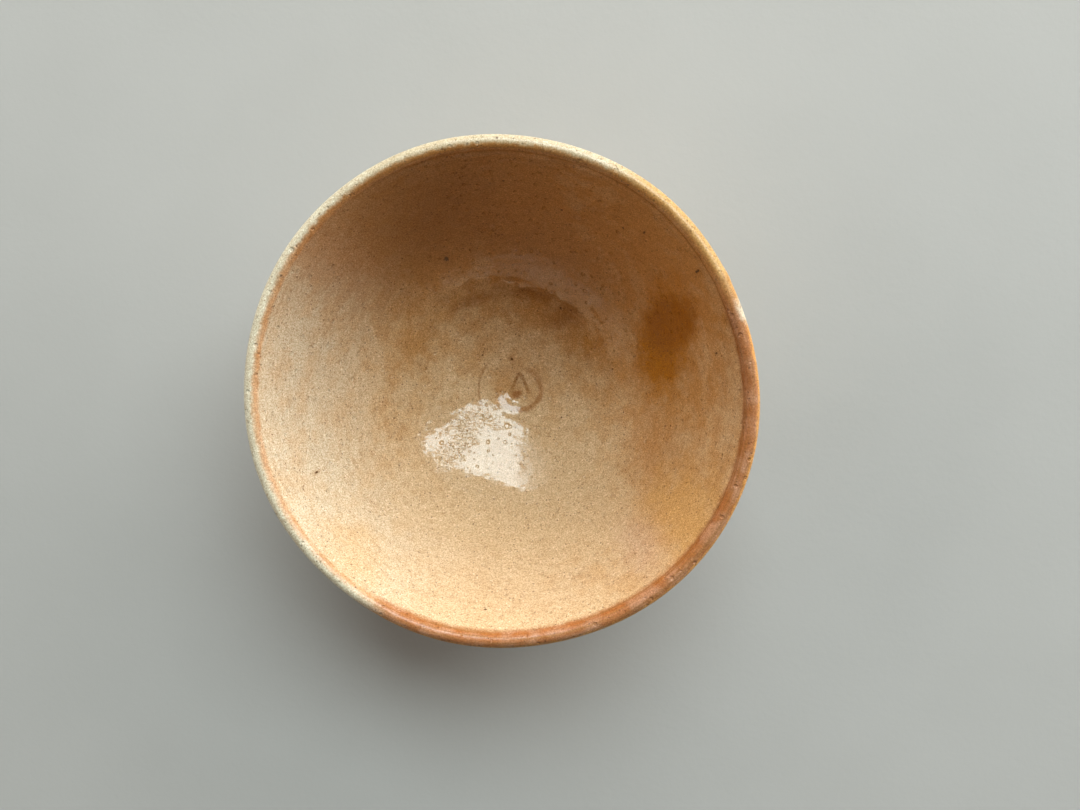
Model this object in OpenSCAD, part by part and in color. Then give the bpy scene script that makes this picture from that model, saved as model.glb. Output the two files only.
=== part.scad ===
// Hand-thrown stoneware tea bowl: clay body, ring foot and four coats of glaze.
// The origin is the centre of the foot's resting face, and +Z is the axis that the bowl was thrown about.

/* [Bowl] */
// Outer diameter of the lip
rim_diameter = 143.5; // [120:0.5:165]
// Height from the resting face to the top of the lip
bowl_height = 78; // [68:0.5:90]
// Lean of the wall from vertical at the mouth, in degrees
mouth_lean = 16.5; // [12:0.5:22]
// Slope at which the floor rises away from the well, in degrees
floor_slope = 18.5; // [5:0.5:21]

/* [Wall] */
// Thickness of the wall at the lip, glaze included
lip_thickness = 4.4; // [3.6:0.1:6]
// Thickness of the floor at the middle, glaze included
floor_thickness = 5; // [4:0.1:7]
// Extra thickness of the wall above the foot, compared with the floor
hip_swell = 3.2; // [0.5:0.1:4]

/* [Glaze] */
// Thickness of every coat of glaze
glaze_thickness = 0.6; // [0.4:0.05:1]
// Length of wall that the lip band covers inside the mouth
band_inside = 5.5; // [3:0.5:10]
// Length of wall that the lip band covers outside the mouth
band_outside = 8; // [3:0.5:12]
// Width of the bare clay that the outer glaze leaves around the foot
bare_width = 9; // [3:0.5:14]

/* [Well] */
// Diameter of the pool of glaze in the well
well_diameter = 36; // [28:1:44]
// Extra depth of glaze at the middle of the pool
well_depth = 0.8; // [0.3:0.1:1.2]

/* [Foot] */
// Outer diameter of the foot where it meets the bowl
foot_diameter = 54; // [50:0.5:60]
// Thickness of the foot's wall where it meets the bowl
foot_wall = 6; // [5:0.5:8]
// Height of the hollow under the bowl
recess_height = 6; // [5.5:0.5:7.5]
// Amount that each side of the foot draws in towards the resting face
foot_taper = 0.5; // [0:0.1:1]
// Width of the bevel on each edge of the resting face
foot_bevel = 0.8; // [0.4:0.1:1.2]
// Drop of the turned point at the middle of the hollow
point_drop = 0.8; // [0.4:0.1:1]

/* [Hidden] */
$fn = 96;

// Steps along each stretch of wall, and around the half-round of the lip.
wall_steps = 24;
band_steps = 3;
well_steps = 8;
lip_steps = 12;
// Times that the search for the foot's corner halves its interval.
halvings = 24;

floor_z = recess_height + floor_thickness;
cavity_depth = bowl_height - floor_z;
hip_thickness = floor_thickness + hip_swell;
lip_r = lip_thickness / 2;
mouth_r = rim_diameter / 2 - lip_r * (1 + cos(mouth_lean));
wall_rise = cavity_depth - lip_r * (1 - sin(mouth_lean));
// The inside is a cone with a rounded tip, plus a power curve that steepens it to the lean at the mouth.
tip_round = 4;
cone_rise = cone_z(mouth_r);
curve_rise = wall_rise - cone_rise;
wall_power = (1 / tan(mouth_lean) - cone_grade(mouth_r)) * mouth_r / curve_rise;
// How fast the wall thins from the hip to the lip.
thinning_power = 3;

well_r = well_diameter / 2;
foot_r = foot_diameter / 2;
foot_inner_r = foot_r - foot_wall;
rest_outer_r = foot_r - foot_taper - foot_bevel;
rest_inner_r = foot_inner_r + foot_taper + foot_bevel;
// Radius of the turned point at the middle of the hollow.
point_r = 7;
// Inside radii at which the lip band ends, the foot joins the wall and the outer glaze stops.
band_in_r = mouth_r - band_inside * sin(mouth_lean);
band_out_r = mouth_r - band_outside * sin(mouth_lean);
foot_join_r = inside_r_at_radius(foot_r, 0, mouth_r, halvings);
glaze_stop_r = foot_join_r + bare_width;
// The foot meets the wall on this corner, and the hollow's ceiling on its own.
foot_join = outer_clay(foot_join_r);

// Height and grade of the cone with its rounded tip, at a radius.
function cone_z(r) = tan(floor_slope) * (norm([r, tip_round]) - tip_round);
function cone_grade(r) = tan(floor_slope) * r / norm([r, tip_round]);

// Height and steepness of the inside surface, and thickness of the wall, at a radius.
function wall_z(r) = floor_z + cone_z(r) + curve_rise * pow(r / mouth_r, wall_power);
function curve_grade(r) = wall_power * curve_rise / mouth_r * pow(r / mouth_r, wall_power - 1);
function wall_angle(r) = atan(cone_grade(r) + curve_grade(r));
function wall_t(r) = hip_thickness - (hip_thickness - lip_thickness) * pow(r / mouth_r, thinning_power);

// The point that lies a depth t behind the inside surface at radius r, measured square to it.
function behind(r, t) = [r + t * sin(wall_angle(r)), wall_z(r) - t * cos(wall_angle(r))];
function inner_face(r) = behind(r, 0);
function inner_clay(r) = behind(r, glaze_thickness);
function outer_clay(r) = behind(r, wall_t(r) - glaze_thickness);
function outer_face(r) = behind(r, wall_t(r));

// Inside radius at which the outer clay reaches a radius, found by halving the interval n times.
function inside_r_at_radius(r, low, high, n) =
    let (middle = (low + high) / 2)
        n == 0 ? middle
        : outer_clay(middle)[0] < r ? inside_r_at_radius(r, middle, high, n - 1)
        : inside_r_at_radius(r, low, middle, n - 1);

// Radii from a to b, in even steps.
function steps(a, b, n) = [for (i = [0 : n]) a + (b - a) * i / n];
function reversed(list) = [for (i = [len(list) - 1 : -1 : 0]) list[i]];

// Radii at which every profile has its corners, so that clay and glaze meet point for point.
well_radii = steps(0, well_r, well_steps);
cup_radii = steps(well_r, band_in_r, wall_steps);
band_in_radii = steps(band_in_r, mouth_r, band_steps);
band_out_radii = steps(mouth_r, band_out_r, band_steps);
coat_radii = steps(band_out_r, glaze_stop_r, wall_steps);
bare_radii = steps(glaze_stop_r, foot_join_r, band_steps);

// The half-round of the lip, from the inside over the top to the outside.
lip_centre = behind(mouth_r, lip_r);
function lip_arc(radius) = [
    for (i = [0 : lip_steps])
        let (turn = 180 * (1 - i / lip_steps) - mouth_lean)
            lip_centre + radius * [cos(turn), sin(turn)]
];

// The clay under the pool dips, so that the pool is thickest in the middle.
function well_clay(r) = inner_clay(r) - [0, well_depth * (1 - pow(r / well_r, 2))];

module stoneware_body() {
    inside = concat(
        [for (r = well_radii) well_clay(r)],
        [for (r = cup_radii) inner_clay(r)],
        [for (r = band_in_radii) inner_clay(r)]
    );
    outside = concat(
        [for (r = band_out_radii) outer_clay(r)],
        [for (r = coat_radii) outer_clay(r)],
        [for (r = bare_radii) outer_clay(r)]
    );
    underside = [
        [foot_inner_r, recess_height],
        [point_r, recess_height],
        [0, recess_height - point_drop]
    ];
    color([0.62, 0.42, 0.28])
        rotate_extrude()
            polygon(concat(inside, lip_arc(lip_r - glaze_thickness), outside, underside));
}

module foot_ring() {
    color([0.56, 0.36, 0.24])
        rotate_extrude()
            polygon([
                [foot_inner_r, recess_height],
                foot_join,
                [foot_r - foot_taper, foot_bevel],
                [rest_outer_r, 0],
                [rest_inner_r, 0],
                [foot_inner_r + foot_taper, foot_bevel]
            ]);
}

// A coat of glaze between its own surface and the clay, over the same radii.
module coat(surface, clay) {
    rotate_extrude()
        polygon(concat(surface, reversed(clay)));
}

module inner_glaze() {
    color([0.80, 0.66, 0.47])
        coat([for (r = cup_radii) inner_face(r)], [for (r = cup_radii) inner_clay(r)]);
}

module well_glaze() {
    color([0.70, 0.55, 0.38])
        coat([for (r = well_radii) inner_face(r)], [for (r = well_radii) well_clay(r)]);
}

module lip_glaze() {
    surface = concat(
        [for (r = band_in_radii) inner_face(r)],
        lip_arc(lip_r),
        [for (r = band_out_radii) outer_face(r)]
    );
    clay = concat(
        [for (r = band_in_radii) inner_clay(r)],
        lip_arc(lip_r - glaze_thickness),
        [for (r = band_out_radii) outer_clay(r)]
    );
    color([0.72, 0.42, 0.20])
        coat(surface, clay);
}

module outer_glaze() {
    color([0.78, 0.68, 0.54])
        coat([for (r = coat_radii) outer_face(r)], [for (r = coat_radii) outer_clay(r)]);
}

stoneware_body();
foot_ring();
inner_glaze();
well_glaze();
lip_glaze();
outer_glaze();
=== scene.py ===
import math

import bmesh
import bpy
import numpy as np
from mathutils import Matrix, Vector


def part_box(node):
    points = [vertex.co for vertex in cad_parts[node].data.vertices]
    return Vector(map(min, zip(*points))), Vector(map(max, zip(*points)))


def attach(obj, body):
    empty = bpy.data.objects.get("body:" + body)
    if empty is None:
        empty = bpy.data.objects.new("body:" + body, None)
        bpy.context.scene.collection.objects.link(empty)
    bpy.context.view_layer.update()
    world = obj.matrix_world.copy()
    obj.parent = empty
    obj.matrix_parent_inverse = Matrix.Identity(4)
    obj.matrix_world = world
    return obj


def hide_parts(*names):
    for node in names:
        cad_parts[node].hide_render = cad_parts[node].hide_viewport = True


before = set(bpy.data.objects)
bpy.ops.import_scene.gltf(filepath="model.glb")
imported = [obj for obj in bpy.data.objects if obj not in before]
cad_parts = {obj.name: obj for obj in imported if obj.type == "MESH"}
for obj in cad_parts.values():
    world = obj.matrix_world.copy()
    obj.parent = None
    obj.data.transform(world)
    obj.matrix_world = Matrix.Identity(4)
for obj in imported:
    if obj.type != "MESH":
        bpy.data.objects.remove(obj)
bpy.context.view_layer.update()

# Sizes are in millimetres and angles in degrees until a mesh, light or camera is made.
MM = 0.001

# ---------------------------------------------------------------- sizes of the bowl
RIM_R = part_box("lip_glaze")[1][0] / MM
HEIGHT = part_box("lip_glaze")[1][2] / MM
FOOT_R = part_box("foot_ring")[1][0] / MM
LEAN = math.radians(16.5)
FLOOR_GRADE = math.tan(math.radians(18.5))
TIP_ROUND = 4.0
LIP_T = 4.4
FLOOR_Z = 11.0
HIP_T = 8.2
COAT = 0.6
WELL_R = 18.0
RECESS_Z = 6.0
FOOT_WALL = 6.0
POINT_R = 7.0
POINT_DROP = 0.8
WELL_CENTRE = (1.6, -0.7)
COLUMNS = 640
LIP_COLUMNS = 960
FOOT_TAPER = 0.5
FOOT_BEVEL = 0.8
BAND_IN = 5.5
BAND_OUT = 8.0
BARE_WIDTH = 9.0

LIP_R = LIP_T / 2
MOUTH_R = RIM_R - LIP_R * (1 + math.cos(LEAN))
WALL_RISE = HEIGHT - FLOOR_Z - LIP_R * (1 - math.sin(LEAN))
CONE_RISE = FLOOR_GRADE * (math.hypot(MOUTH_R, TIP_ROUND) - TIP_ROUND)
CURVE_RISE = WALL_RISE - CONE_RISE
MOUTH_GRADE = FLOOR_GRADE * MOUTH_R / math.hypot(MOUTH_R, TIP_ROUND)
POWER = (1 / math.tan(LEAN) - MOUTH_GRADE) * MOUTH_R / CURVE_RISE


# ---------------------------------------------------------------- the wall, as in the CAD model
def wall_z(r):
    cone = FLOOR_GRADE * (np.hypot(r, TIP_ROUND) - TIP_ROUND)
    return FLOOR_Z + cone + CURVE_RISE * (r / MOUTH_R) ** POWER


def wall_angle(r):
    cone = FLOOR_GRADE * r / np.hypot(r, TIP_ROUND)
    return np.arctan(cone + POWER * CURVE_RISE / MOUTH_R * (r / MOUTH_R) ** (POWER - 1))


def wall_t(r):
    return HIP_T - (HIP_T - LIP_T) * (r / MOUTH_R) ** 3


def behind(r, depth):
    """The point a depth behind the inside surface, measured square to it."""
    angle = wall_angle(r)
    return r + depth * np.sin(angle), wall_z(r) - depth * np.cos(angle)


def skin(q, depth):
    """A point a depth below the bowl's surface. q runs from 0 to 1 up the inside, on to 2 over the lip, and
    on to 3 down the outside."""
    r_in = MOUTH_R * np.clip(q, 0, 1)
    r_out = MOUTH_R * np.clip(3 - q, 0, 1)
    inside = behind(r_in, depth)
    outside = behind(r_out, wall_t(r_out) - depth)
    turn = np.pi * (2 - np.clip(q, 1, 2)) - LEAN
    centre = behind(MOUTH_R, LIP_R)
    over = centre[0] + (LIP_R - depth) * np.cos(turn), centre[1] + (LIP_R - depth) * np.sin(turn)
    r = np.where(q <= 1, inside[0], np.where(q < 2, over[0], outside[0]))
    z = np.where(q <= 1, inside[1], np.where(q < 2, over[1], outside[1]))
    return r, z


def skin_normal(q):
    """The direction square to the surface, towards the air."""
    step = 1e-4
    r0, z0 = skin(q - step, 0.0)
    r1, z1 = skin(q + step, 0.0)
    length = np.hypot(r1 - r0, z1 - z0)
    return -(z1 - z0) / length, (r1 - r0) / length


# S is the distance along the surface from the crest of the lip: negative inside the bowl, positive outside.
Q_TABLE = np.linspace(0, 2.9, 6001)
r_table, z_table = skin(Q_TABLE, 0.0)
S_TABLE = np.concatenate([[0], np.cumsum(np.hypot(np.diff(r_table), np.diff(z_table)))])
S_TABLE -= np.interp(1.5, Q_TABLE, S_TABLE)


def along(q):
    return np.interp(q, Q_TABLE, S_TABLE)


def q_at(s):
    return np.interp(s, S_TABLE, Q_TABLE)


def q_at_outer_radius(radius):
    """Where the clay of the outside reaches a radius."""
    q = np.linspace(2.2, 2.9, 4001)
    return float(np.interp(-radius, -skin(q, COAT)[0], q))


Q_FOOT = q_at_outer_radius(FOOT_R)
S_MIDDLE = float(along(0.0))
S_WELL = float(along(WELL_R / MOUTH_R))
S_BAND_IN = float(along(1 - BAND_IN * math.sin(LEAN) / MOUTH_R))
S_BAND_OUT = float(along(2 + BAND_OUT * math.sin(LEAN) / MOUTH_R))
S_STOP = float(along(Q_FOOT - BARE_WIDTH / MOUTH_R))
S_FOOT = float(along(Q_FOOT))


# ---------------------------------------------------------------- the marks of the hand and the wheel
def smooth(low, high, value):
    """0 below low, 1 above high, smooth between."""
    t = np.clip((value - low) / (high - low), 0, 1)
    return t * t * (3 - 2 * t)


def bump(value, centre, width):
    """A bell 1 high."""
    return np.exp(-(((value - centre) / width) ** 2))


WAVE_COUNT = 7
WAVE_SPREAD = 0.35
LUMP_COUNT = 14


def waves(values, seed, pitch):
    """A smooth irregular wave, about 1 high, made of sines of nearly the same pitch."""
    draw = np.random.default_rng(seed)
    total = np.zeros_like(values)
    for _ in range(WAVE_COUNT):
        length = pitch * (1 + WAVE_SPREAD * draw.uniform(-1, 1))
        total = total + np.sin(2 * np.pi * (values / length + draw.uniform()))
    return total / math.sqrt(WAVE_COUNT / 2)


def lumps(x, y, z, seed, size):
    """A smooth irregular field in space, about 1 high."""
    draw = np.random.default_rng(seed)
    total = np.zeros_like(x)
    for _ in range(LUMP_COUNT):
        direction = draw.normal(size=3)
        direction *= 2 * np.pi / size / np.linalg.norm(direction)
        phase = direction[0] * x + direction[1] * y + direction[2] * z + draw.uniform(0, 2 * np.pi)
        total = total + np.sin(phase)
    return total / math.sqrt(LUMP_COUNT / 2)


def wheel_marks(distance, x, y, seed, pitch):
    """Rings left by the wheel, a little tilted from side to side."""
    return waves(distance + 0.35 * pitch * np.sin(np.arctan2(y, x) + seed), seed, pitch)


def curl_relief(x, y):
    """The curl of clay that the thrower's finger left in the middle of the well."""
    pull = np.cos(np.arctan2(y, x) - math.pi / 2)
    return 0.02 * bump(np.hypot(x, y), 2.8 + pull, 1.0) * smooth(0.2, 0.9, pull)


def dish_relief(r):
    """The dish that a finger pressed in the middle of the well, and the low rim round it."""
    return 0.17 * bump(r, 8.8, 2.0) - 0.42 * (1 - smooth(4.6, 7.4, r) ** 0.6)


def lip_groove(s, x, y):
    """The groove under the lip, deepest at the upper right."""
    side = smooth(-0.2, 0.9, (x + y) / np.hypot(x, y).clip(1))
    return -0.22 * bump(s, -4.6, 0.9) * (0.35 + 0.65 * side)


def inside_relief(s, r, x, y, z):
    """Height of the inside's marks above the plain wall. Those in the middle lie round the well's centre."""
    middle = bump(r, 0, 25)
    wx, wy = x - WELL_CENTRE[0] * middle, y - WELL_CENTRE[1] * middle
    wr = np.hypot(wx, wy)
    rings = 0.006 * wheel_marks(wr, wx, wy, 3, 3.3) * smooth(12, 30, wr)
    rings += 0.020 * wheel_marks(wr, wx, wy, 5, 9.0) * smooth(30, 42, wr)
    left_edge_of_well = 0.030 * bump(wr, 14.5, 0.8) * smooth(-0.2, 0.8, -wx / wr.clip(1))
    rings += left_edge_of_well + 0.02 * bump(wr, 36.5, 1.5) - 0.03 * bump(wr, 44.5, 1.5)
    thrown = smooth(2, 9, -s) * (rings + 0.06 * lumps(x, y, z, 11, 24))
    return thrown + dish_relief(wr) + curl_relief(wx, wy) + lip_groove(s, x, y)


def outside_relief(s, x, y, z):
    """Height of the outside's throwing rings and lumps, which never cut through the glaze."""
    rings = 0.11 * wheel_marks(s, x, y, 21, 8.5) + 0.025 * wheel_marks(s, x, y, 22, 2.6)
    return smooth(2, 10, s) * np.maximum(rings + 0.13 * lumps(x, y, z, 23, 30), -0.45)


def trimming_relief(s, x, y):
    """Fine grooves that the turning tool left in the bare clay."""
    return 0.07 * wheel_marks(s, x, y, 31, 1.7) + 0.05 * lumps(x, y, s, 32, 4)


# Waves round the rim: how many go round it, how high they are, and the direction in which one of them peaks.
# Those of LEAN_OF_RIM go outwards, as a share of the radius. Those of RISE_OF_RIM go up, in millimetres.
LEAN_OF_RIM = ((2, 0.0088, -30), (3, 0.0042, -33), (4, 0.0012, -30), (5, 0.0020, -22), (7, 0.0016, -3))
RISE_OF_RIM = ((2, 0.40, 70), (3, 0.22, 15), (5, 0.10, 40))


def settle(x, y, z):
    """Bends the whole bowl out of round, as it left the wheel and the kiln, and nicks the lip."""
    turn = np.arctan2(y, x)
    upper = smooth(0.05, 1.0, z / HEIGHT)

    def wave(terms):
        return sum(size * np.cos(order * (turn - math.radians(way))) for order, size, way in terms)

    grow, rise = wave(LEAN_OF_RIM), wave(RISE_OF_RIM)
    nick = 0.22 * bump(np.degrees(turn), 28, 1.6) * smooth(0.9, 1.0, z / HEIGHT)
    scale = 1 + grow * upper + nick / RIM_R
    return x * scale, y * scale, z + rise * (z / HEIGHT) ** 3


# ---------------------------------------------------------------- meshes
def angles(columns):
    return np.linspace(0, 2 * np.pi, columns, endpoint=False)[None, :]


def thrown_mesh(name, r, z, s, columns):
    """Turns rows of points (rows by columns) into a closed surface. The rows join up in a loop, unless they
    start and end on the axis."""
    turn = angles(columns)
    x, y, z = settle(r * np.cos(turn), r * np.sin(turn), z + 0 * turn)
    rows = r.shape[0]
    verts = np.stack([x, y, z], -1).reshape(-1, 3) * MM
    row, col = np.meshgrid(np.arange(rows), np.arange(columns), indexing="ij")
    after = (col + 1) % columns
    below = (row + 1) % rows
    corners = [(row, col), (row, after), (below, after), (below, col)]
    quads = np.stack([r_index * columns + c_index for r_index, c_index in corners], -1)
    if not r[0].any():
        quads = quads[:-1]
    faces = quads.reshape(-1, 4)
    mesh = bpy.data.meshes.new(name)
    mesh.vertices.add(len(verts))
    mesh.vertices.foreach_set("co", verts.ravel())
    mesh.loops.add(faces.size)
    mesh.loops.foreach_set("vertex_index", faces.ravel().astype(np.int32))
    mesh.polygons.add(len(faces))
    mesh.polygons.foreach_set("loop_start", np.arange(0, faces.size, 4, dtype=np.int32))
    mesh.update(calc_edges=True)
    distance = mesh.attributes.new("along", "FLOAT", "POINT")
    distance.data.foreach_set("value", (s + 0 * turn).ravel().astype(np.float32))
    return mesh


def piece(name, mesh, material, node):
    """Puts a mesh in the scene as the piece that stands for a CAD node."""
    work = bmesh.new()
    work.from_mesh(mesh)
    bmesh.ops.remove_doubles(work, verts=work.verts, dist=1e-7)
    bmesh.ops.recalc_face_normals(work, faces=work.faces)
    work.to_mesh(mesh)
    work.free()
    mesh.polygons.foreach_set("use_smooth", [True] * len(mesh.polygons))
    mesh.set_sharp_from_angle(angle=math.radians(42))
    mesh.materials.append(material)
    thing = bpy.data.objects.new(name, mesh)
    bpy.context.scene.collection.objects.link(thing)
    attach(thing, "root")
    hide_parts(node)
    return thing


def raised(s, turn, depth):
    """Points of the marked surface at distances s (rows) and angles turn (columns), at a depth below it."""
    s = s + 0 * turn
    q = q_at(s)
    r, z = skin(q, depth)
    nr, nz = skin_normal(q)
    x, y = r * np.cos(turn), r * np.sin(turn)
    lift = np.where(q < 1.5, inside_relief(s, r, x, y, z), outside_relief(s, x, y, z))
    return r + lift * nr, z + lift * nz, s


def plain(s, turn, depth):
    """Points of the plain surface, for the hidden side of a coat."""
    s = s + 0 * turn
    r, z = skin(q_at(s), depth)
    return r + 0 * turn, z + 0 * turn, s


def stack(*parts):
    """Joins several sets of rows into one."""
    return [np.concatenate([part[k] for part in parts]) for k in range(3)]


def well_mesh():
    """The pool of glaze in the well, from the middle to its edge and back along the clay."""
    turn = angles(COLUMNS)
    there = np.linspace(0, 1, 76)[:, None]
    and_back = np.linspace(0, 1, 12)[:, None]
    front = raised(S_MIDDLE + (S_WELL - S_MIDDLE) * there, turn, 0.0)
    back = plain(S_WELL + (S_MIDDLE - S_WELL) * and_back, turn, COAT)
    front[0][0] = 0
    front[1][0] = front[1][0].mean()
    back[0][-1] = 0
    r, z, s = stack(front, back)
    return thrown_mesh("well_glaze_skin", r, z, s, COLUMNS)


def glaze_mesh(name, s_start, s_end, rows, columns):
    """A coat of glaze: its marked face, then its plain back against the clay."""
    turn = angles(columns)
    there = np.linspace(0, 1, rows)[:, None]
    and_back = np.linspace(1, 0, max(6, rows // 6))[:, None]
    front = raised(s_start + (s_end - s_start) * there, turn, 0.0)
    r, z, s = stack(front, plain(s_start + (s_end - s_start) * and_back, turn, COAT))
    return thrown_mesh(name, r, z, s, columns)


# Waves of the glaze's lower edge: how many go round the bowl, how high they are, and their phase.
WANDER_OF_GLAZE_LINE = ((1, 2.2, 0.6), (2, 1.2, 2.1), (5, 0.5, 0.0), (9, 0.3, 1.0))


def outer_mesh():
    """The outside coat, which ends in a rolled, wandering edge above the foot."""
    turn = angles(COLUMNS)
    wander = sum(size * np.sin(order * turn + shift) for order, size, shift in WANDER_OF_GLAZE_LINE)
    end = S_STOP + wander
    t = np.concatenate([np.linspace(0, 0.97, 96), np.linspace(0.972, 1, 14)])[:, None]
    s = S_BAND_OUT + (end - S_BAND_OUT) * t
    left = end - s
    roll = np.sqrt(np.clip(1 - (1 - np.clip(left / 0.9, 0, 1)) ** 2, 0, 1))
    bead = 0.30 * bump(left, 1.3, 1.2) * roll
    r, z, s = raised(s, turn, COAT * (1 - roll))
    nr, nz = skin_normal(q_at(s))
    front = r + bead * nr, z + bead * nz, s
    back_t = np.linspace(1, 0, 16)[:, None]
    back = plain(S_BAND_OUT + (end - S_BAND_OUT) * back_t, turn, COAT + 0.05)
    r, z, s = stack(front, back)
    return thrown_mesh("outer_glaze_skin", r, z, s, COLUMNS)


def body_mesh():
    """The clay: its hidden faces under the glaze, the bare band above the foot, and the underside."""
    turn = angles(COLUMNS)
    hidden = np.linspace(S_MIDDLE, S_STOP - 5, 44)[:, None]
    under_glaze = plain(hidden, turn, COAT + 0.02 + 0.25 * smooth(5, 12, S_STOP - hidden))
    r, z, s = stack(under_glaze, bare_band(turn), underside(turn))
    r[0] = 0
    return thrown_mesh("stoneware_body_skin", r, z, s, COLUMNS)


def bare_band(turn):
    """The band of clay between the end of the outside glaze and the foot."""
    r, z, s = plain(np.linspace(S_STOP - 4.6, S_FOOT, 40)[:, None], turn, COAT)
    x, y = r * np.cos(turn), r * np.sin(turn)
    lift = trimming_relief(s, x, y) * smooth(0, 1.5, S_FOOT - s) + outside_relief(s, x, y, z)
    nr, nz = skin_normal(q_at(s))
    return r + lift * nr, z + lift * nz, s


def underside(turn):
    """The clay inside the foot ring, trimmed in rings round a low point."""
    inner = FOOT_R - FOOT_WALL
    across = np.concatenate([np.linspace(inner, 0.4, 56), [0]])[:, None] + 0 * turn
    x, y = across * np.cos(turn), across * np.sin(turn)
    point = POINT_DROP * (1 - smooth(0, POINT_R, across))
    rings = 0.09 * wheel_marks(across, x, y, 51, 2.2) * smooth(0.5, 3, across)
    ceiling = RECESS_Z - point + rings + 0.05 * lumps(x, y, 0 * x, 52, 5)
    ceiling[-1] = ceiling[-2].mean()
    return across, ceiling, S_FOOT + (inner - across) + FOOT_WALL


def foot_outline(inner, top_r, top_z):
    """Points round the foot's section, each side cut into a few steps."""
    corners = [
        (inner, RECESS_Z),
        (top_r, top_z),
        (FOOT_R - FOOT_TAPER, FOOT_BEVEL),
        (FOOT_R - FOOT_TAPER - FOOT_BEVEL, 0),
        (inner + FOOT_TAPER + FOOT_BEVEL, 0),
        (inner + FOOT_TAPER, FOOT_BEVEL),
    ]
    counts = (6, 26, 6, 12, 6, 16)
    points = []
    for (r0, z0), (r1, z1), count in zip(corners, corners[1:] + corners[:1], counts):
        for i in range(count):
            points.append((r0 + (r1 - r0) * i / count, z0 + (z1 - z0) * i / count))
    return np.array(points), counts[0]


def foot_mesh():
    """The ring foot, trimmed with a tool and worn smooth where it stands."""
    turn = angles(COLUMNS)
    inner = FOOT_R - FOOT_WALL
    top_r, top_z = (float(v) for v in skin(np.array(Q_FOOT), COAT))
    points, top_count = foot_outline(inner, top_r, top_z)
    r = points[:, 0][:, None] + 0 * turn
    z = points[:, 1][:, None] + 0 * turn
    out = np.where(r > (FOOT_R + inner) / 2, 1, -1) * smooth(0, 1.2, z)
    out = out * smooth(0, 1.0, np.minimum(top_z, RECESS_Z + 4) - z)
    out[:top_count] = 0
    x, y = r * np.cos(turn), r * np.sin(turn)
    chatter = 0.09 * wheel_marks(z, x, y, 61, 1.9) + 0.10 * lumps(x, y, z, 62, 9)
    r = r + out * chatter
    s = S_FOOT + (top_z - z)
    return thrown_mesh("foot_ring_skin", r, z, s, COLUMNS)


# ---------------------------------------------------------------- material helpers
GLASS_IOR = 1.57


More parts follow.
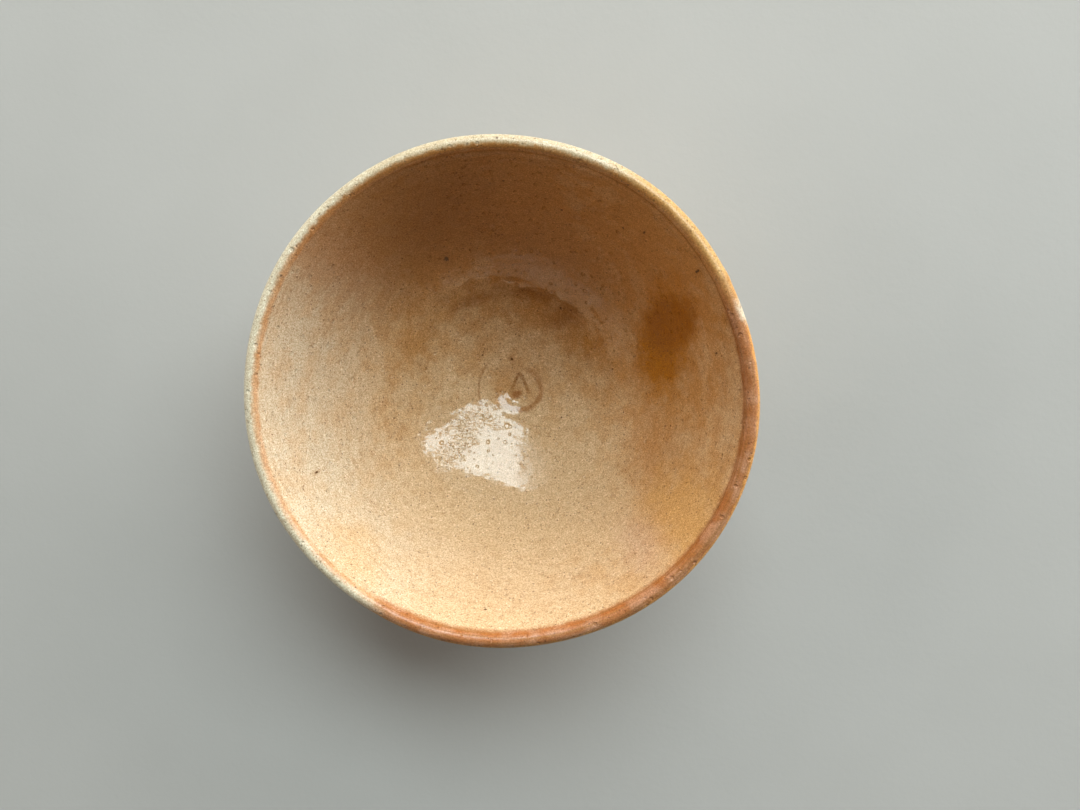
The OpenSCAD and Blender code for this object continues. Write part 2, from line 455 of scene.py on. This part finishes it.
class Graph:
    """A short way to write a node tree. Every call returns the socket that it makes."""

    def __init__(self, name):
        self.material = bpy.data.materials.new(name)
        self.material.use_nodes = True
        self.tree = self.material.node_tree
        self.tree.nodes.clear()
        coordinates = self.make("ShaderNodeTexCoord").outputs["Object"]
        self.point = self.vector("SCALE", coordinates, scale=1 / MM)
        parts = self.make("ShaderNodeSeparateXYZ", self.point).outputs
        self.x, self.y, self.z = parts[0], parts[1], parts[2]
        flat = self.make("ShaderNodeCombineXYZ", self.x, self.y).outputs[0]
        self.r = self.vector("LENGTH", flat, output="Value")
        self.side = self.vector("NORMALIZE", flat)
        attribute = self.make("ShaderNodeAttribute")
        attribute.attribute_name = "along"
        self.along = attribute.outputs["Fac"]

    def make(self, kind, *inputs):
        """A new node, its first inputs set to sockets or plain values."""
        node = self.tree.nodes.new(kind)
        for socket, value in zip(node.inputs, inputs):
            self.feed(socket, value)
        return node

    def feed(self, socket, value):
        if value is None:
            return
        if isinstance(value, bpy.types.NodeSocket):
            self.tree.links.new(value, socket)
        else:
            socket.default_value = value

    def math(self, operation, a, b=None, c=None, clamp=False):
        node = self.make("ShaderNodeMath", a, b, c)
        node.operation = operation
        node.use_clamp = clamp
        return node.outputs[0]

    def vector(self, operation, a, b=None, scale=None, output="Vector"):
        node = self.make("ShaderNodeVectorMath", a, b)
        node.operation = operation
        if scale is not None:
            node.inputs["Scale"].default_value = scale
        return node.outputs[output]

    def noise(self, size, detail=2.0, rough=0.5, seed=0.0):
        """Noise from 0 to 1 with features about size millimetres across."""
        place = self.vector("SCALE", self.point, scale=1 / size)
        shifted = self.vector("ADD", place, (seed, seed * 0.37, seed * 0.71))
        node = self.make("ShaderNodeTexNoise", shifted)
        node.inputs["Scale"].default_value = 1.0
        node.inputs["Detail"].default_value = detail
        node.inputs["Roughness"].default_value = rough
        return node.outputs["Fac"]

    def step(self, value, low, high):
        """0 below low, 1 above high, smooth between; the other way round when low is above high."""
        node = self.make("ShaderNodeMapRange", value)
        node.interpolation_type = "SMOOTHSTEP"
        node.inputs["From Min"].default_value = low
        node.inputs["From Max"].default_value = high
        return node.outputs["Result"]

    def spots(self, spacing, radius, share, seed=0.0, ragged=0.0):
        """Round spots, at most one to each cell of the given spacing, in a share of the cells."""
        place = self.vector("SCALE", self.point, scale=1 / spacing)
        place = self.vector("ADD", place, (seed, seed * 0.53, seed * 0.29))
        if ragged:
            wobble = self.make("ShaderNodeTexNoise", place)
            wobble.inputs["Scale"].default_value = 6.0
            place = self.vector("ADD", place, self.vector("SCALE", wobble.outputs["Color"], scale=ragged))
        cells = self.make("ShaderNodeTexVoronoi", place)
        cells.inputs["Scale"].default_value = 1.0
        pick = self.make("ShaderNodeSeparateColor", cells.outputs["Color"]).outputs
        size = self.times(self.swing(pick[1], 0.4, 1.2), radius / spacing)
        ratio = self.math("DIVIDE", cells.outputs["Distance"], size)
        chosen = self.math("LESS_THAN", pick[0], share)
        return self.times(self.step(ratio, 1.2, 0.7), chosen)

    def facing(self, degrees):
        """1 on the side of the bowl that lies in a direction, -1 on the far side."""
        way = math.radians(degrees)
        return self.vector("DOT_PRODUCT", self.side, (math.cos(way), math.sin(way), 0), output="Value")

    def patch(self, centre, half, edge=0.6, turn=0, rag=None):
        """1 inside an ellipse on the plan of the bowl, with a soft and ragged edge."""
        way = math.radians(turn)
        moved = self.vector("SUBTRACT", self.point, (centre[0], centre[1], 0))
        across = self.vector("DOT_PRODUCT", moved, (math.cos(way), math.sin(way), 0), output="Value")
        up = self.vector("DOT_PRODUCT", moved, (-math.sin(way), math.cos(way), 0), output="Value")
        across, up = self.math("DIVIDE", across, half[0]), self.math("DIVIDE", up, half[1])
        flat = self.make("ShaderNodeCombineXYZ", across, up).outputs[0]
        distance = self.vector("LENGTH", flat, output="Value")
        if rag is not None:
            distance = self.math("ADD", distance, rag)
        return self.step(distance, 1 + edge, 1 - edge)

    def streaks(self, pitch, length, seed=0.0):
        """Noise drawn out round the bowl, like the lines left by throwing."""
        round_it = self.vector("SCALE", self.side, scale=30 / length)
        up = self.math("DIVIDE", self.along, pitch)
        line = self.make("ShaderNodeCombineXYZ", 0.0, 0.0, up).outputs[0]
        place = self.vector("ADD", self.vector("ADD", round_it, line), (seed, seed * 0.3, 0.0))
        node = self.make("ShaderNodeTexNoise", place)
        node.inputs["Scale"].default_value = 1.0
        node.inputs["Detail"].default_value = 2.0
        return node.outputs["Fac"]

    def mix(self, factor, a, b, blend="MIX"):
        """Colour a where the factor is 0 and colour b where it is 1."""
        node = self.tree.nodes.new("ShaderNodeMix")
        node.data_type = "RGBA"
        node.blend_type = blend
        colour_a, colour_b = node.inputs[6], node.inputs[7]
        self.feed(node.inputs[0], factor)
        self.feed(colour_a, rgba(a))
        self.feed(colour_b, rgba(b))
        return node.outputs[2]

    def times(self, a, b):
        return self.math("MULTIPLY", a, b)

    def swing(self, value, low, high):
        """Takes 0 to 1 onto low to high."""
        return self.math("MULTIPLY_ADD", value, high - low, low)

    def ring(self, distance, radius, outer, inner):
        """1 on a ring at a radius, fading to 0 at the outer distance from it."""
        return self.step(self.math("ABSOLUTE", self.math("SUBTRACT", distance, radius)), outer, inner)

    def finish(self, colour, roughness, height, bump_distance):
        """Ends the tree in a shader of that colour, roughness and fine relief, and returns the material."""
        shader = self.tree.nodes.new("ShaderNodeBsdfPrincipled")
        shader.inputs["IOR"].default_value = GLASS_IOR
        self.feed(shader.inputs["Base Color"], colour)
        self.feed(shader.inputs["Roughness"], roughness)
        relief = self.tree.nodes.new("ShaderNodeBump")
        relief.inputs["Strength"].default_value = 1.0
        relief.inputs["Distance"].default_value = bump_distance * MM
        self.feed(relief.inputs["Height"], height)
        self.tree.links.new(relief.outputs["Normal"], shader.inputs["Normal"])
        output = self.tree.nodes.new("ShaderNodeOutputMaterial")
        self.tree.links.new(shader.outputs[0], output.inputs["Surface"])
        return self.material


def rgba(value):
    """A colour of three numbers as four; a socket stays as it is."""
    if isinstance(value, tuple) and len(value) == 3:
        return (*value, 1.0)
    return value


# ---------------------------------------------------------------- materials
CREAM = (0.70, 0.485, 0.292)
TAN = (0.56, 0.285, 0.097)
BROWN = (0.32, 0.135, 0.035)
OCHRE = (0.46, 0.18, 0.007)
DEEP_OCHRE = (0.38, 0.14, 0.005)
ORANGE = (0.52, 0.22, 0.065)
# Painted shade: the brown that darkens the far wall of the inside.
PAINTED_SHADE_UMBER = (0.40, 0.185, 0.055)
RUSSET = (0.40, 0.145, 0.045)
GOLD = (0.66, 0.37, 0.13)
AMBER = (0.74, 0.36, 0.10)
BLUSH = (0.60, 0.385, 0.28)
DARK = (0.10, 0.042, 0.016)
PALE = (0.70, 0.60, 0.44)
CREST = (0.72, 0.64, 0.48)
GREY_CREAM = (0.50, 0.41, 0.28)
# Painted light: the paler tone laid on the lit left wall of the inside.
PAINTED_LIGHT_PALE = (0.66, 0.56, 0.42)

# Places of the largest iron spots and pits on the plan of the bowl, each with its size.
IRON_SPOTS = (
    (-20.8, 42.9, 0.9),
    (-1.1, 10, 0.6),
    (55.2, 34.7, 0.5),
    (41.2, 46.8, 0.4),
    (62, 12, 0.35),
    (-57, -24, 0.4),
)
PITS = (
    (-2.8, -13.7, 0.9),
    (-18.5, -12.1, 0.5),
    (-16.4, -11.1, 0.5),
    (-9.3, -19.1, 0.6),
    (-25, -19, 0.6),
    (-20, -24, 0.5),
)

# Stains in the inside glaze, with patches of painted light and shade among them, in the order that they lie
# over each other:
# centre, half sizes, softness of the edge, turn, raggedness, strength and colour.
STAINS_AND_PAINTED_LIGHT = (
    ((49, 16), (7.0, 17), 0.45, 0, 0.6, 1.0, OCHRE),
    ((50.5, 21), (6.5, 8), 0.35, 0, 0.3, 1.0, DEEP_OCHRE),
    ((46, -24), (7, 20), 0.9, 5, 1.0, 0.35, ORANGE),
    ((54, -35), (9, 12), 0.8, -30, 1.0, 0.7, GOLD),
    ((-44, -46), (9, 4), 0.8, -45, 1.0, 0.3, GOLD),
    ((41, -45), (6, 5), 0.9, 30, 1.0, 0.45, BLUSH),
    ((-48, 41), (9, 9), 0.9, 0, 1.0, 0.3, BLUSH),
    # Painted shade: this umber patch darkens the upper left of the far wall.
    ((-34, 50), (24, 15), 0.9, 35, 0.5, 0.75, PAINTED_SHADE_UMBER),
    # Painted light: this cream patch brightens the lit lower wall.
    ((-4, -38), (34, 20), 0.9, 0, 0.0, 0.6, CREAM),
    ((18, 25), (5.5, 4), 0.8, 20, 1.0, 0.55, BROWN),
    # Painted shade: this umber patch darkens the far wall above the well.
    ((13, 38), (22, 7), 0.9, -22, 0.4, 0.45, PAINTED_SHADE_UMBER),
)


def grained(g, colour, seed):
    """Gives a glaze its fine grain of light and brown, its flecks and its specks of iron."""
    grain = g.step(g.noise(0.42, detail=2, rough=0.6, seed=seed + 3), 0.36, 0.64)
    pale = g.spots(0.85, 0.24, 0.75, seed=seed + 5, ragged=0.2)
    shade = g.swing(grain, 0.80, 1.12)
    shade = g.math("MULTIPLY_ADD", pale, 0.22, shade)
    green, blue = g.math("POWER", shade, 1.25), g.math("POWER", shade, 1.6)
    colour = g.mix(1.0, colour, g.make("ShaderNodeCombineXYZ", shade, green, blue).outputs[0], "MULTIPLY")
    blotch = g.step(g.noise(2.3, detail=3, rough=0.65, seed=seed + 4), 0.44, 0.68)
    colour = g.mix(g.times(blotch, 0.14), colour, BROWN)
    fine = g.spots(0.75, 0.19, 0.9, seed=seed + 7, ragged=0.25)
    colour = g.mix(g.times(fine, 0.50), colour, BROWN)
    middling = g.spots(1.4, 0.27, 0.55, seed=seed + 11, ragged=0.2)
    colour = g.mix(g.times(middling, 0.55), colour, DARK)
    large = g.spots(7.0, 0.45, 0.5, seed=seed + 13, ragged=0.04)
    return g.mix(g.times(large, 0.8), colour, DARK)


def glossy_height(g, seed):
    """The glaze's own orange peel, its grain and its pinholes."""
    peel = g.noise(2.4, detail=2, seed=seed + 17)
    fine = g.noise(0.85, detail=2, seed=seed + 19)
    rough_patch = g.step(g.noise(11, detail=2, seed=seed + 20), 0.50, 0.62)
    grainy = g.patch((-19, -19), (4.0, 12), 0.7, -38)
    grainy = g.math("MAXIMUM", grainy, g.patch((-9, -11), (2.2, 5), 0.7, 60))
    fine = g.times(fine, g.math("ADD", g.swing(rough_patch, 0.15, 0.6), g.times(grainy, 3.6)))
    pits = g.spots(1.6, 0.26, 0.5, seed=seed + 23, ragged=0.1)
    pits = g.math("MAXIMUM", pits, g.spots(2.6, 0.55, 0.9, seed=seed + 25, ragged=0.12))
    grains = g.times(g.spots(1.15, 0.42, 0.75, seed=seed + 26, ragged=0.25), grainy)
    pits = g.math("MAXIMUM", pits, grains)
    for x, y, size in PITS:
        pits = g.math("MAXIMUM", pits, g.patch((x, y), (size, size), 0.5))
    slow = g.times(g.noise(7, detail=2, seed=seed + 27), 6.0)
    return g.math("SUBTRACT", g.math("ADD", g.math("ADD", peel, slow), fine), g.times(pits, 3.6))


def inside_ground(g, cloudy):
    """The inside's cream, browner on the far wall as painted shade and creamier on the lit near wall as
    painted light, paler on the lit left wall as painted light, and streaked round the wheel.
    """
    broad = g.step(g.noise(30, detail=2, seed=2), 0.34, 0.66)
    out = g.step(g.r, 4, 44)
    # Painted shade and light: browner on the far wall, which faces away from the window, and creamier on the
    # lit near wall.
    far = g.times(g.math("SUBTRACT", 0.15, g.times(g.facing(258), 0.62)), out)
    warm = g.math("MULTIPLY_ADD", broad, 0.40, far)
    warm = g.math("ADD", warm, g.swing(cloudy, -0.18, 0.28), clamp=True)
    colour = g.mix(warm, CREAM, TAN)
    # Painted light: a paler tone where the light falls on the left wall.
    left_wall_painted_light = g.times(g.step(g.facing(188), 0.2, 0.9), g.step(g.r, 38, 64))
    colour = g.mix(g.times(left_wall_painted_light, g.swing(cloudy, 0.9, 0.6)), colour, PAINTED_LIGHT_PALE)
    streak = g.step(g.streaks(1.6, 5, seed=21), 0.48, 0.66)
    return g.mix(g.times(streak, 0.12), colour, BROWN)


def iron_spots(g, colour):
    for x, y, size in IRON_SPOTS:
        halo = g.patch((x, y), (size * 1.8, size * 1.8), 0.8)
        spot = g.patch((x, y), (size * 0.7, size * 0.7), 0.4, 0, g.swing(g.noise(0.8, seed=x), -0.8, 0.8))
        colour = g.mix(g.times(halo, 0.3), colour, BROWN)
        colour = g.mix(g.times(spot, 0.9), colour, DARK)
    return colour


def inside_colour(g):
    cloudy = g.step(g.noise(8, detail=4, rough=0.6, seed=4), 0.34, 0.66)
    colour = inside_ground(g, cloudy)
    rag = g.swing(g.noise(5, detail=4, rough=0.7, seed=6), -0.9, 0.9)
    for centre, half, edge, turn, ragged, strength, stain_or_painted_light in STAINS_AND_PAINTED_LIGHT:
        patch = g.patch(centre, half, edge, turn, g.times(rag, ragged))
        colour = g.mix(g.times(patch, strength), colour, stain_or_painted_light)
    arc = g.times(g.ring(g.r, 33, 3.2, 0.2), g.step(g.facing(98), 0.80, 0.95))
    colour = g.mix(g.times(g.times(arc, g.swing(cloudy, 0.2, 0.7)), 0.8), colour, BROWN)
    return iron_spots(g, colour)


def toast(g):
    """How toasted the lip is: full on the right and lower right, none on the top and left."""
    wander = g.swing(g.noise(14, detail=3, seed=8), -0.5, 0.5)
    return g.step(g.math("MULTIPLY_ADD", wander, 0.4, g.facing(-48)), 0.18, 0.45)


def near(g, distance, low, high, soft):
    """1 between two distances along the surface from the crest of the lip."""
    return g.times(g.step(distance, low - soft, low + soft), g.step(distance, high + soft, high - soft))


def pale_crest(g, colour, place, top):
    """The pale crest of the lip, tan on top and golden at the upper right."""
    crest = g.mix(g.times(top, 0.5), CREST, (0.50, 0.38, 0.22))
    crest = g.mix(g.step(g.facing(36), 0.86, 0.97), crest, (0.60, 0.36, 0.14))
    return g.mix(g.times(near(g, place, -1.2, 5.0, 0.8), 0.9), colour, crest)


def toasted_band(g, colour, place):
    """The russet band on the right of the lip, with an amber line outside it."""
    burnt = toast(g)
    cloud = g.step(g.noise(6, detail=3, seed=10), 0.4, 0.6)
    band = g.mix(cloud, RUSSET, (0.47, 0.225, 0.12))
    band = g.mix(g.times(g.step(g.streaks(0.7, 9, seed=35), 0.5, 0.62), 0.6), band, BROWN)
    colour = g.mix(g.times(g.times(near(g, place, -4.9, 2.2, 1.2), burnt), 0.92), colour, band)
    return g.mix(g.times(g.times(near(g, place, 0.8, 4.6, 0.6), burnt), 0.8), colour, AMBER)


def lip_colour(g, colour):
    """Adds the lip's crest, the orange line just inside it, the toasted band, painted shade in the groove
    under the lip and a pale scar.
    """
    rag = g.swing(g.noise(2.4, detail=4, rough=0.7, seed=9), -1.3, 1.3)
    place = g.math("ADD", g.along, rag)
    top = g.step(g.facing(80), 0.55, 0.92)
    colour = pale_crest(g, colour, place, top)
    line = g.times(near(g, place, -3.2, -1.5, 0.8), g.swing(top, 0.70, 0.35))
    line = g.times(line, g.swing(g.noise(5, detail=2, seed=36), 0.5, 1.3))
    colour = g.mix(line, colour, ORANGE)
    colour = toasted_band(g, colour, place)
    # Painted shade: brown laid along the groove under the lip, on the right side.
    groove = g.times(near(g, g.along, -4.1, -3.5, 0.35), g.step(g.facing(10), 0.2, 0.6))
    colour = g.mix(g.times(groove, 0.5), colour, BROWN)
    scar = g.patch((67.5, 24), (2.2, 3.6), 0.5, 20, g.times(rag, 0.4))
    scar = g.times(scar, near(g, g.along, -4.0, 2.5, 1.0))
    return g.mix(g.times(scar, 0.8), colour, (0.72, 0.66, 0.52))


def glaze_material(name, colour_of, seed=0.0):
    """A glossy glaze, drier over the lip and frosted in one place low on the inside."""
    g = Graph(name)
    colour = grained(g, lip_colour(g, colour_of(g)), seed)
    dry = g.times(near(g, g.along, -3.0, 4.5, 1.5), 0.24)
    frosted = g.times(g.patch((9, -27), (6, 9), 0.9), 0.22)
    rough = g.math("ADD", g.swing(g.noise(6, detail=3, seed=seed + 29), 0.07, 0.16), dry)
    return g.finish(colour, g.math("ADD", rough, frosted), glossy_height(g, seed), 0.06)


def curl_distance(g):
    """How far a point is, in millimetres, from the drop-shaped curl in the middle of the well."""
    x = g.math("ABSOLUTE", g.math("SUBTRACT", g.x, 1.5))
    y = g.math("SUBTRACT", g.y, -0.4)
    across = g.times(x, g.math("MULTIPLY_ADD", y, 0.12, 1.0))
    flat = g.make("ShaderNodeCombineXYZ", across, g.times(y, 0.55)).outputs[0]
    return g.math("ABSOLUTE", g.math("SUBTRACT", g.vector("LENGTH", flat, output="Value"), 2.6))


def well_colour(g):
    """The inside's colour with the brown ring, arc and curl of the well."""
    colour = inside_colour(g)
    flat = g.make("ShaderNodeCombineXYZ", g.x, g.y).outputs[0]
    centre = g.vector("LENGTH", g.vector("SUBTRACT", flat, (*WELL_CENTRE, 0)), output="Value")
    rag = g.swing(g.noise(2.5, detail=3, seed=33), -0.9, 0.9)
    ragged = g.math("ADD", centre, rag)
    ring = g.times(g.step(ragged, 6.0, 7.2), g.step(ragged, 9.0, 7.8))
    side = g.swing(g.facing(-50), 0.30, 0.60)
    colour = g.mix(g.times(ring, side), colour, (0.36, 0.15, 0.045))
    arc = g.times(g.ring(centre, 14.5, 0.7, 0.1), g.step(g.facing(175), 0.6, 0.95))
    colour = g.mix(g.times(arc, 0.45), colour, BROWN)
    curl = g.times(g.step(curl_distance(g), 1.0, 0.2), g.swing(g.noise(1.2, seed=34), 0.3, 1.2))
    curl = g.times(curl, g.step(g.y, -4.5, 0.5))
    colour = g.mix(g.times(curl, 0.75), colour, BROWN)
    blob = g.patch((0.6, -2.6), (1.8, 1.3), 0.6, 30, rag)
    return g.mix(g.times(blob, 0.75), colour, (0.34, 0.13, 0.035))


def outside_colour(g):
    """Greyer than the inside, clouded with tan and flushed orange on the lip's toasted side."""
    broad = g.noise(30, detail=3, seed=12)
    cloudy = g.noise(8, detail=4, rough=0.6, seed=14)
    warm = g.math("ADD", g.swing(broad, -0.1, 0.9), g.swing(cloudy, -0.3, 0.3), clamp=True)
    colour = g.mix(warm, GREY_CREAM, TAN)
    flush = g.times(g.step(g.facing(-40), -0.1, 0.8), g.step(g.noise(22, detail=3, seed=15), 0.45, 0.65))
    return g.mix(g.times(flush, 0.5), colour, ORANGE)


def lip_ground(g):
    """The glaze under the lip's own colours: the inside's up to the crest and the outside's past it."""
    return g.mix(g.step(g.along, -1, 1), inside_colour(g), outside_colour(g))


def clay_material(name, light, dark, seed):
    """Bare fired clay with grit and pale sand in it."""
    g = Graph(name)
    cloudy = g.noise(7, detail=4, rough=0.6, seed=seed)
    colour = g.mix(cloudy, light, dark)
    grain = g.swing(g.noise(0.45, detail=3, rough=0.7, seed=seed + 1), 0.7, 1.25)
    tint = g.make("ShaderNodeCombineXYZ", grain, grain, grain).outputs[0]
    colour = g.mix(1.0, colour, tint, "MULTIPLY")
    grit = g.spots(1.1, 0.2, 0.4, seed=seed + 2, ragged=0.2)
    colour = g.mix(g.times(grit, 0.6), colour, DARK)
    sand = g.spots(1.9, 0.24, 0.35, seed=seed + 3, ragged=0.2)
    colour = g.mix(g.times(sand, 0.6), colour, PALE)
    height = g.math("ADD", g.noise(0.6, detail=3, rough=0.7, seed=seed + 4), g.times(sand, 0.6))
    rough = g.swing(g.noise(3, detail=2, seed=seed + 5), 0.72, 0.92)
    return g.finish(colour, rough, height, 0.12)


# ---------------------------------------------------------------- the pieces
inner_material = glaze_material("inner_glaze_look", inside_colour)
well_material = glaze_material("well_glaze_look", well_colour)
lip_material = glaze_material("lip_glaze_look", lip_ground)
outer_material = glaze_material("outer_glaze_look", outside_colour, seed=40.0)
body_material = clay_material("body_clay_look", (0.42, 0.24, 0.13), (0.28, 0.13, 0.065), 50.0)
foot_material = clay_material("foot_clay_look", (0.38, 0.21, 0.11), (0.25, 0.115, 0.055), 60.0)

inner_skin = glaze_mesh("inner_glaze_skin", S_WELL, S_BAND_IN, 112, COLUMNS)
lip_skin = glaze_mesh("lip_glaze_skin", S_BAND_IN, S_BAND_OUT, 48, LIP_COLUMNS)

# Each piece's name, mesh and material, the CAD node that it replaces, and its material slot.
PIECES = (
    ("well_glaze_pool", well_mesh(), well_material, "well_glaze", "well_glaze"),
    ("inner_glaze_coat", inner_skin, inner_material, "inner_glaze", "inner_glaze"),
    ("lip_glaze_band", lip_skin, lip_material, "lip_glaze", "lip_glaze"),
    ("outer_glaze_coat", outer_mesh(), outer_material, "outer_glaze", "outer_glaze"),
    ("clay_bowl", body_mesh(), body_material, "stoneware_body", "body_clay"),
    ("clay_foot", foot_mesh(), foot_material, "foot_ring", "foot_clay"),
)
for name, mesh, material, node, slot_name in PIECES:
    piece(name, mesh, material, node)


# ---------------------------------------------------------------- floor, light and camera
def floor():
    """A plain pale floor, 8 m across."""
    mesh = bpy.data.meshes.new("floor_mesh")
    work = bmesh.new()
    bmesh.ops.create_grid(work, x_segments=1, y_segments=1, size=4.0)
    work.to_mesh(mesh)
    work.free()
    g = Graph("floor_look")
    shade = g.mix(g.noise(40, detail=4, seed=70), (0.44, 0.425, 0.40), (0.47, 0.455, 0.43))
    mesh.materials.append(g.finish(shade, 0.8, g.noise(2, detail=3, seed=71), 0.05))
    plane = bpy.data.objects.new("floor", mesh)
    bpy.context.scene.collection.objects.link(plane)


def backdrop():
    """A pale surround beyond the lights, which only the camera sees."""
    mesh = bpy.data.meshes.new("backdrop_mesh")
    work = bmesh.new()
    bmesh.ops.create_cone(work, segments=96, radius1=1.15, radius2=1.15, depth=4.0)
    work.to_mesh(mesh)
    work.free()
    g = Graph("backdrop_look")
    shade = g.mix(g.step(g.z, 0, 900), (0.56, 0.55, 0.53), (0.42, 0.41, 0.39))
    glow = g.make("ShaderNodeEmission", shade).outputs[0]
    g.make("ShaderNodeOutputMaterial", glow)
    mesh.materials.append(g.material)
    ring = bpy.data.objects.new("backdrop", mesh)
    bpy.context.scene.collection.objects.link(ring)
    ring.visible_diffuse = ring.visible_glossy = ring.visible_shadow = ring.visible_transmission = False


def area_light(name, azimuth, distance, low, high, width, radiance, colour, seen=True):
    """An upright panel of light that faces the bowl from a compass direction. Sizes are in metres.
    A panel that isn't seen lights the bowl and gives no reflection in the glaze."""
    data = bpy.data.lights.new(name, "AREA")
    data.shape = "RECTANGLE"
    data.size = width
    data.size_y = high - low
    data.color = colour
    data.energy = radiance * math.pi * width * (high - low)
    lamp = bpy.data.objects.new(name, data)
    way = math.radians(azimuth)
    lamp.location = (distance * math.cos(way), distance * math.sin(way), (low + high) / 2)
    lamp.rotation_euler = (math.pi / 2, 0, way + math.pi / 2)
    lamp.visible_glossy = seen
    bpy.context.scene.collection.objects.link(lamp)


# The camera's place in metres, its turn in degrees, and its lens and sensor in millimetres.
CAMERA_PLACE = (0.0215, 0.0118, 0.3005)
CAMERA_TURN = (-3.6, 2.52, -0.04)
LENS = 27.03
SENSOR = 36.0


def camera():
    """Almost straight above the bowl, a little to its right."""
    data = bpy.data.cameras.new("camera")
    data.lens = LENS
    data.sensor_width = SENSOR
    data.clip_start = 0.01
    view = bpy.data.objects.new("camera", data)
    view.location = CAMERA_PLACE
    view.rotation_euler = tuple(math.radians(turn) for turn in CAMERA_TURN)
    bpy.context.scene.collection.objects.link(view)
    bpy.context.scene.camera = view


def surroundings(strength):
    """A dim warm room round the bowl."""
    world = bpy.data.worlds.new("studio")
    world.use_nodes = True
    background = world.node_tree.nodes["Background"]
    background.inputs["Color"].default_value = (1.0, 0.84, 0.66, 1)
    background.inputs["Strength"].default_value = strength
    bpy.context.scene.world = world


floor()
backdrop()
area_light("window", 67.5, 1.0, 0.94, 2.15, 1.64, 6.7, (0.82, 0.96, 1.0))
area_light("pale_wall_under_window", 52, 1.1, 0.08, 0.80, 3.4, 4.1, (1.0, 0.985, 0.96), seen=False)
area_light("far_wall", 165, 1.1, 0.25, 1.05, 1.8, 1.5, (1.0, 0.95, 0.88), seen=False)
surroundings(0.035)
camera()
bpy.context.scene.view_settings.view_transform = "Standard"
bpy.context.scene.view_settings.look = "Medium High Contrast"
